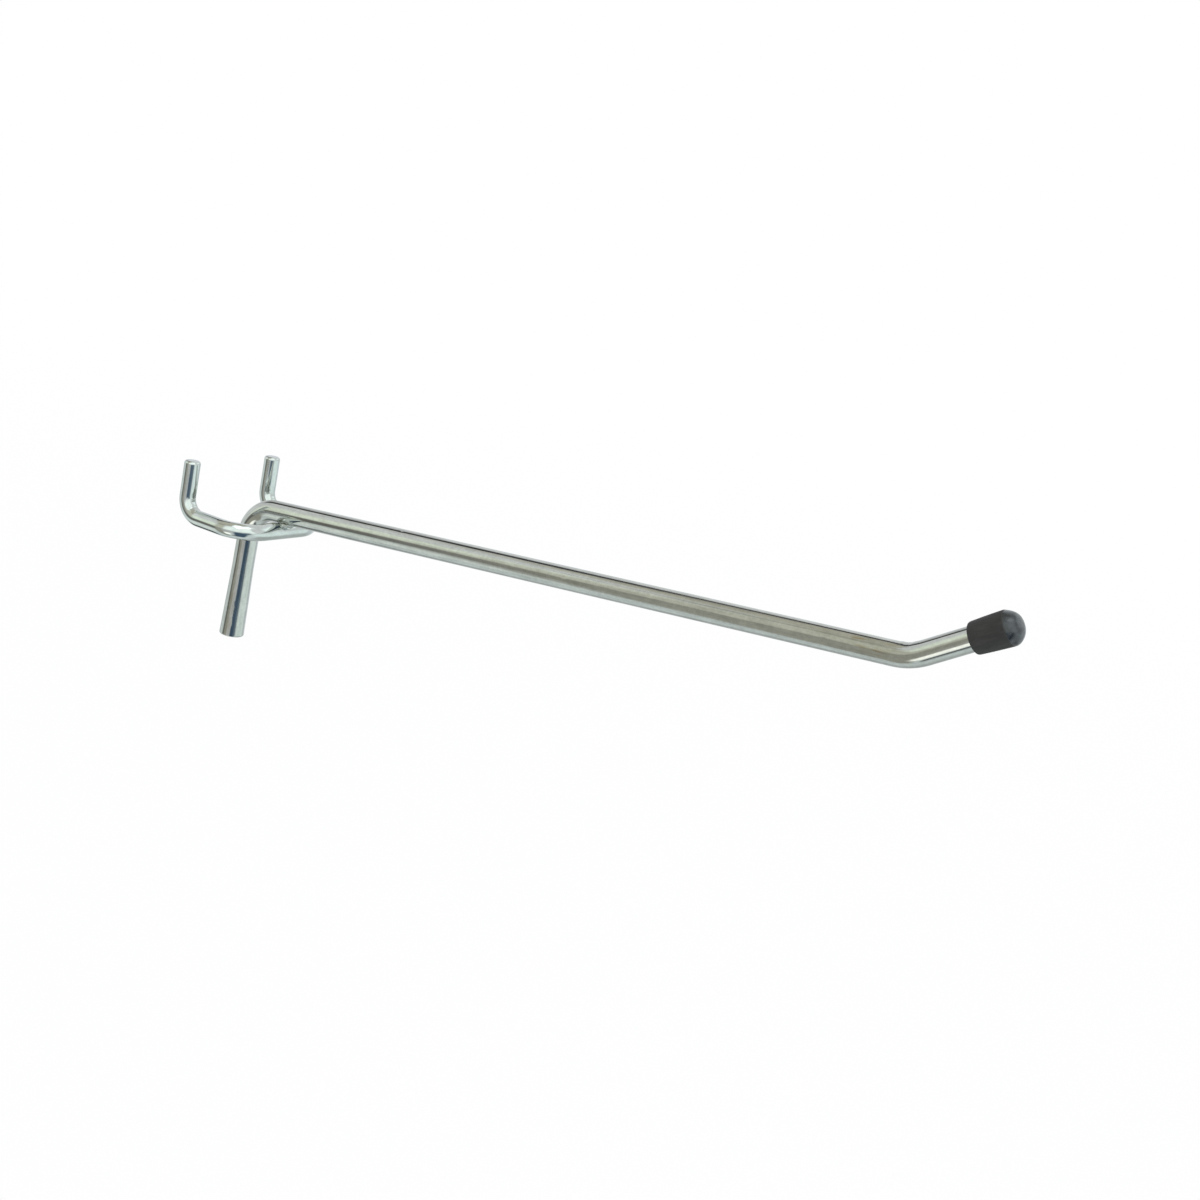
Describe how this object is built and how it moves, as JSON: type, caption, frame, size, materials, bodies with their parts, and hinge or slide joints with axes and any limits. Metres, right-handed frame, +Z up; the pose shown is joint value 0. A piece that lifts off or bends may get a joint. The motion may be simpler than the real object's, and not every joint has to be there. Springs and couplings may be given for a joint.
{
  "type": "single pegboard hook",
  "caption": "Single straight wire hook for a perforated board: hooked staple behind, bracing leg below, long arm with a raised end and a push-on cap.",
  "frame": {"origin": "on the board's front face, midway between the two holes, level with the two shanks", "axes": "+X along the board to the right as seen from the front, +Z up, arm runs out along -Y"},
  "size_m": [0.029, 0.1853, 0.0576],
  "materials": {
    "main_zinc": "bright zinc plate on drawn steel wire, fine lengthwise drawing marks",
    "staple_zinc": "bright zinc plate on drawn steel wire, polished streaks at the bends",
    "weld_metal": "uneven metal squeezed out by a cross-wire weld, plated over",
    "cap_vinyl": "soft black dipped vinyl, dull, with faint lengthwise rub marks"
  },
  "bodies": {
    "root": {"main_wire": "main_zinc", "peg_staple": "staple_zinc", "weld_flash": "weld_metal", "tip_cap": "cap_vinyl"}
  },
  "joints": []
}
